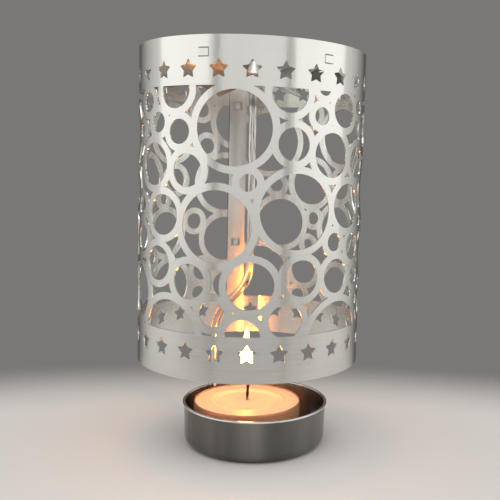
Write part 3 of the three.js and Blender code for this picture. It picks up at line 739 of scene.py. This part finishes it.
# Windows of the lantern. Each is a round hole with a rim, and what lies between the rims is cut
# away as well. Azimuth, height from the sheet's middle and radius are in degrees of turn, and
# TURN is one degree's length on the sheet.
RIM = 2.25 * MM
SEGMENT = 0.8 * MM
LEAST_SEGMENTS = 24
NEAR_LAP = 135
TURN = radians(LANTERN_R)
THROUGH = 12 * MM
FRONT_WINDOWS = [
    (-7.7, 37.7, 17.0), (-15.5, -6.4, 16.4), (22.2, 0.9, 17.4), (1.0, -33.1, 10.9),
    (41.3, 27.1, 10.4), (-52.0, 20.9, 9.9), (54.1, 3.4, 10.7), (-44.9, -2.4, 9.5),
    (-30.2, 18.4, 7.6), (19.9, 31.3, 7.6), (-28.6, -32.2, 8.2), (25.4, -29.7, 8.5),
    (46.2, -29.8, 8.2), (-48.4, -25.4, 8.2), (49.7, 48.2, 7.9), (63.8, 24.6, 7.9),
    (-16.7, -46.4, 6.0), (-64.7, -15.0, 6.7), (60.9, -16.5, 6.6), (-34.8, 35.8, 5.7),
    (-0.9, 13.6, 4.0), (34.2, 44.7, 4.1), (-48.6, 40.1, 4.7), (-57.5, 49.6, 4.6),
    (-65.8, 0.9, 4.9), (44.2, -13.5, 4.4), (64.1, -31.2, 4.7), (-71.4, -41.4, 14.2),
    (-37.4, 54.3, 8.2), (17.6, 53.9, 8.7), (35.6, 57.6, 3.6), (-2.3, -56.6, 8.2),
    (17.8, -49.4, 8.0), (-41.0, -57.9, 16.1), (48.2, -60.7, 18.5), (67.1, -43.6, 3.3),
    (63.8, 50.9, 3.6), (70.1, -4.3, 3.3), (-65.2, 36.5, 3.6),
]
SIDE_WINDOWS = [
    (89.8, 11.6, 17.1), (85.4, -21.8, 12.6), (81.6, -47.1, 8.3), (77.9, 41.3, 8.9),
    (102.1, -11.7, 3.4), (95.5, 43.0, 5.0), (99.5, -42.0, 6.8), (118.5, 11.5, 7.5),
    (121.5, -13.5, 12.8), (118.9, 39.0, 15.3), (120.6, -46.3, 11.7), (-86.0, 36.0, 14.0),
    (-81.0, 8.0, 9.0), (-93.0, -14.0, 12.0), (-99.5, -44.0, 10.0), (-109.5, -30.0, 3.4),
    (-106.0, 47.0, 4.5), (-106.0, 13.0, 11.0), (-127.2, 38.1, 14.1), (-130.6, 12.3, 6.3),
    (-120.9, 1.6, 2.8), (-122.4, -17.3, 11.7), (-126.0, -48.0, 13.6),
]
BACK_WINDOWS = [
    (142.2, 12.3, 12.2), (144.5, 51.5, 6.0), (140.6, -8.0, 3.5), (144.0, -23.2, 2.9),
    (146.7, -38.8, 8.0), (150.3, -54.3, 4.0), (162.1, -11.2, 13.7), (165.3, 10.7, 3.8),
    (170.2, 35.8, 17.1), (175.3, -42.7, 16.7), (-170.2, 46.6, 12.6), (-163.1, 10.4, 15.2),
    (-163.7, -21.8, 12.8), (-164.5, -49.5, 7.5), (-151.8, 32.3, 4.5), (-148.3, 52.9, 4.4),
    (-143.9, -11.3, 4.5), (-149.5, -40.5, 5.5), (-147.2, -53.8, 3.9),
]


def window_bar(azimuth, height, radius, wider):
    """A round bar through the wall at one window, kept to its own side of the lap."""
    bar_r = radius * TURN + wider
    bpy.ops.object.select_all(action='DESELECT')
    bpy.ops.mesh.primitive_cylinder_add(
        vertices=max(LEAST_SEGMENTS, round(2 * pi * bar_r / SEGMENT)), radius=bar_r, depth=THROUGH,
        location=round_axis(azimuth, LANTERN_R, (bottom + top) / 2 + height * TURN),
        rotation=(pi / 2, 0, radians(azimuth)))
    bar = bpy.context.object
    bpy.ops.object.transform_apply(location=True, rotation=True, scale=True)
    if abs(azimuth) > NEAR_LAP:
        bpy.ops.object.mode_set(mode='EDIT')
        bpy.ops.mesh.select_all(action='SELECT')
        across = (cos(radians(LAP_AT)), sin(radians(LAP_AT)), 0)
        bpy.ops.mesh.bisect(plane_co=(0, 0, 0), plane_no=across, use_fill=True,
                            clear_inner=azimuth < 0, clear_outer=azimuth > 0)
        bpy.ops.object.mode_set(mode='OBJECT')
    return bar


def cut(piece, tool, operation='DIFFERENCE'):
    """Cuts a piece with a tool and throws the tool away."""
    finished(piece, 'BOOLEAN', operation=operation, object=tool, solver='MANIFOLD')
    bpy.data.objects.remove(tool)


drawing = FRONT_WINDOWS + SIDE_WINDOWS + BACK_WINDOWS
zone_start = LAP_AT + lap_half
zone_end = outer_end + 360
zone_thick = 2 * (SHEET + FIT) + FIT
gaps = rolled("gaps", zone_start, zone_end, LANTERN_R + FIT, bottom + BOTTOM_BAND, top - TOP_BAND,
              ROLL_STEPS)
walled(gaps, zone_thick)
holes = gaps.copy()
holes.data = gaps.data.copy()
bpy.context.collection.objects.link(holes)
for window in drawing:
    cut(gaps, window_bar(*window, RIM))
cut(holes, joined(*[window_bar(*window, 0) for window in drawing]), 'INTERSECT')
cut(lantern, holes)
cut(lantern, gaps)

# Stars of the lantern. Five-pointed holes with blunt points, one row through each band, cut in the
# flat sheet with the windows. The place in each row that falls on the lap stays closed.
STAR_POINTS = 5
STAR_PITCH = 15
STAR_FIRST = -150
STAR_COUNT = 23
STAR_R = 3.22 * MM
STAR_NOTCH = 0.53
STAR_BLUNT = 0.45 * MM
STAR_BLUNT_STEPS = 4
STAR_TOP = 10 * MM
STAR_BOTTOM = 9.1 * MM

bpy.ops.object.select_all(action='DESELECT')
bpy.ops.mesh.primitive_circle_add(vertices=2 * STAR_POINTS, radius=STAR_R, fill_type='NGON',
                                  rotation=(pi / 2, 0, 0))
star = bpy.context.object
bpy.ops.object.transform_apply(location=True, rotation=True, scale=True)
star.data.polygons[0].select = False
for side in star.data.edges:
    side.select = False
for i, corner in enumerate(star.data.vertices):
    corner.select = i % 2 == 1
bpy.ops.object.mode_set(mode='EDIT')
bpy.ops.mesh.select_mode(type='VERT')
bpy.ops.transform.resize(value=(STAR_NOTCH,) * 3, center_override=(0, 0, 0))
bpy.ops.mesh.select_all(action='INVERT')
bpy.ops.mesh.bevel(offset=STAR_BLUNT, segments=STAR_BLUNT_STEPS, affect='VERTICES')
bpy.ops.mesh.select_all(action='SELECT')
bpy.ops.mesh.extrude_region_move(TRANSFORM_OT_translate={"value": (0, THROUGH, 0)})
bpy.ops.mesh.select_all(action='SELECT')
bpy.ops.mesh.normals_make_consistent(inside=False)
bpy.ops.transform.translate(value=(0, -LANTERN_R - THROUGH / 2, 0))
bpy.ops.object.mode_set(mode='OBJECT')
stars = []
for z in (bottom + STAR_BOTTOM, top - STAR_TOP):
    for i in range(STAR_COUNT):
        copy = star.copy()
        copy.data = star.data.copy()
        bpy.context.collection.objects.link(copy)
        copy.location.z = z
        copy.rotation_euler.z = radians(STAR_FIRST + STAR_PITCH * i)
        stars.append(copy)
bpy.data.objects.remove(star)
cut(lantern, joined(*stars))

# Tongues of the lantern, cut free on three sides and bent inwards. Those in the top band hook into
# the rotor's ears by turns from either side, and those in the lap hold the sheet's ends together.
TONGUE = (3.1 * MM, 2.2 * MM)
TONGUE_SLIT = 0.35 * MM
TONGUE_DROP = 5.1 * MM
TONGUE_BEND = 3
TONGUE_SUNK = 0.05 * MM
LAP_TONGUE_BEND = 30
LAP_TONGUES = (36.6 * MM, 90.6 * MM)
LANTERN_GRAIN = 0.6 * MM
ROUND_LANTERN = (0.05, 0.05, 1)


def block(name, size, at, azimuth, lean=0):
    """A block that leans about its own upright axis, turned to an azimuth round the lantern's axis."""
    bpy.ops.object.select_all(action='DESELECT')
    bpy.ops.mesh.primitive_cube_add(size=1, rotation=(0, 0, radians(lean)))
    made = bpy.context.object
    made.name = name
    made.scale = size
    made.location = at
    bpy.ops.object.transform_apply(location=True, rotation=True, scale=True)
    made.rotation_euler.z = radians(azimuth)
    bpy.ops.object.transform_apply(location=True, rotation=True, scale=True)
    return made


def tongue(azimuth, z, side, bend):
    """The opening that frees a tongue on three sides, and the tongue, hinged at the fourth."""
    wide, high = TONGUE
    opening_size = (wide + TONGUE_SLIT, THROUGH, high + 2 * TONGUE_SLIT)
    opening = block("opening", opening_size, (side * TONGUE_SLIT / 2, -LANTERN_R, z), azimuth)
    reach = wide + SHEET / 2
    lean = radians(bend)
    offset = (wide - SHEET / 2) / 2
    hinge_y = -LANTERN_R + SHEET / 2 + TONGUE_SUNK
    at = (side * (offset * cos(lean) - wide / 2), hinge_y + offset * sin(lean), z)
    plate = block("tongue", (reach, SHEET, high), at, azimuth, side * bend)
    return opening, plate


tongues = [tongue(BLADE_FIRST + 360 / BLADES * i, top - TONGUE_DROP, 1 if i % 2 else -1, TONGUE_BEND)
           for i in range(BLADES)]
tongues += [tongue(LAP_AT, bottom + z, 1, LAP_TONGUE_BEND) for z in LAP_TONGUES]
cut(lantern, joined(*[opening for opening, plate in tongues]))
joined(lantern, *[plate for opening, plate in tongues])
bpy.ops.object.shade_smooth_by_angle(angle=radians(SMOOTH_ANGLE))
lantern.data.materials.clear()
lantern.data.materials.append(satin_steel("satin_steel_sheet", "#d4d3ce", 0.22, LANTERN_GRAIN,
                                          ROUND_LANTERN))
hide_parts("lantern")
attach(lantern, "spinner")

# Floor. A plain pale studio table, painted matt, on which the cup stands. It fades out in an oval that
# is wide and short, so that the lowest stars and the steel's low band meet the room and not the table.
FLOOR_SIZE = 30
FLOOR_SHIFT = (0, 0.02, 0)
FLOOR_OVAL = (0.5, 1, 1)
FLOOR_FADE = (0.06, 0.13)

bpy.ops.object.select_all(action='DESELECT')
bpy.ops.mesh.primitive_plane_add(size=FLOOR_SIZE, location=(0, 0, cup_low.z))
floor = bpy.context.object
floor.name = "floor"
bpy.ops.object.transform_apply(location=True, rotation=True, scale=True)
floor_paint = bpy.data.materials.new("pale_table")
floor_paint.use_nodes = True
floor_tree = floor_paint.node_tree
floor_shader = floor_tree.nodes["Principled BSDF"]
floor_shader.inputs["Base Color"].default_value = linear("#d0cecb")
floor_shader.inputs["Roughness"].default_value = 0.7
floor_place = add_node(floor_tree, "ShaderNodeTexCoord")
floor_oval = add_node(floor_tree, "ShaderNodeMapping",
                      inputs={"Location": FLOOR_SHIFT, "Scale": FLOOR_OVAL},
                      links={"Vector": floor_place.outputs["Object"]})
floor_reach = add_node(floor_tree, "ShaderNodeVectorMath", {"operation": 'LENGTH'},
                       links={"Vector": floor_oval.outputs["Vector"]})
floor_fade = add_node(floor_tree, "ShaderNodeMapRange", {"interpolation_type": 'SMOOTHSTEP'},
                      {"From Min": FLOOR_FADE[0], "From Max": FLOOR_FADE[1], "To Min": 1.0, "To Max": 0.0},
                      {"Value": floor_reach.outputs["Value"]})
floor_tree.links.new(floor_fade.outputs["Result"], floor_shader.inputs["Alpha"])
floor.data.materials.append(floor_paint)

# Light. Two soft boxes, one on each side of the object and a little before it, and a larger one above.
# They are weak, because the steel shows each side box and the room behind it together.
SIDE_BOX = (0.7, 0.6)
SIDE_AT = (0.55, -0.2, 0.32)
SIDE_TILT = 78
SIDE_POWER = 0.8
TOP_BOX = 1.0
TOP_AT = (0, -0.3, 1.2)
TOP_POWER = 5.6

for side in (-1, 1):
    bpy.ops.object.light_add(type='AREA', location=(side * SIDE_AT[0], SIDE_AT[1], SIDE_AT[2]))
    lamp = bpy.context.object
    lamp.data.shape = 'RECTANGLE'
    lamp.data.size, lamp.data.size_y = SIDE_BOX
    lamp.data.energy = SIDE_POWER
    lamp.rotation_euler = (radians(SIDE_TILT), 0, atan2(side * SIDE_AT[0], -SIDE_AT[1]))
bpy.ops.object.light_add(type='AREA', location=TOP_AT)
lamp = bpy.context.object
lamp.data.size = TOP_BOX
lamp.data.energy = TOP_POWER

# Room round the table, in degrees from behind the camera to the backdrop. It is white behind the camera,
# with a thin dark line on each side that draws an upright line on the steel, and pale beside the object.
# Towards the backdrop it is dark, which draws the edges, and below the table's height in front it is grey.
WALL_TONES = [
    (32, "#fbfaf8"), (35, "#8f8e8a"), (38, "#e0dfdc"), (104, "#eae9e6"), (114, "#e0dfdc"),
    (150, "#5e5d5b"), (166, "#5e5d5b"),
]
BACKDROP = "#7a7876"
LOW_SHADE = (-0.28, 0.0)
FRONT_SHADE = (0.1, 0.6)

world = bpy.data.worlds.new("studio")
bpy.context.scene.world = world
world.use_nodes = True
room = world.node_tree
backdrop = room.nodes["Background"]
place = add_node(room, "ShaderNodeTexCoord")
split = add_node(room, "ShaderNodeSeparateXYZ", links={"Vector": place.outputs["Generated"]})
beside = add_node(room, "ShaderNodeMath", {"operation": 'ABSOLUTE'}, links={0: split.outputs["X"]})
before = add_node(room, "ShaderNodeMath", {"operation": 'MULTIPLY'}, {1: -1.0}, {0: split.outputs["Y"]})
turn = add_node(room, "ShaderNodeMath", {"operation": 'ARCTAN2'},
                links={0: beside.outputs["Value"], 1: before.outputs["Value"]})
half_turn = add_node(room, "ShaderNodeMath", {"operation": 'DIVIDE'}, {1: pi}, {0: turn.outputs["Value"]})
walls = add_node(room, "ShaderNodeValToRGB", links={"Fac": half_turn.outputs["Value"]})
walls.color_ramp.elements[0].color = linear("#ffffff")
walls.color_ramp.elements[1].color = linear(BACKDROP)
for degree, tone in WALL_TONES:
    walls.color_ramp.elements.new(degree / 180).color = linear(tone)
front = add_node(room, "ShaderNodeMapRange", {"interpolation_type": 'SMOOTHSTEP'},
                 {"From Min": FRONT_SHADE[0], "From Max": FRONT_SHADE[1]},
                 {"Value": before.outputs["Value"]})
height = add_node(room, "ShaderNodeMapRange", {"interpolation_type": 'SMOOTHSTEP'},
                  {"From Min": LOW_SHADE[0], "From Max": LOW_SHADE[1], "To Min": 1.0, "To Max": 0.0},
                  {"Value": split.outputs["Z"]})
low = add_node(room, "ShaderNodeMath", {"operation": 'MULTIPLY'},
               links={0: front.outputs["Result"], 1: height.outputs["Result"]})
tones = add_node(room, "ShaderNodeMix", {"data_type": 'RGBA'}, {"B": linear("#a8a6a2")},
                 {"Factor": low.outputs["Value"], "A": walls.outputs["Color"]})
# The camera and the clear cup see the plain backdrop on all sides.
ray = add_node(room, "ShaderNodeLightPath")
direct = add_node(room, "ShaderNodeMath", {"operation": 'MAXIMUM'},
                  links={0: ray.outputs["Is Camera Ray"], 1: ray.outputs["Is Transmission Ray"]})
seen = add_node(room, "ShaderNodeMix", {"data_type": 'RGBA'}, {"B": linear(BACKDROP)},
                {"Factor": direct.outputs["Value"], "A": tones.outputs["Result"]})
room.links.new(seen.outputs["Result"], backdrop.inputs["Color"])
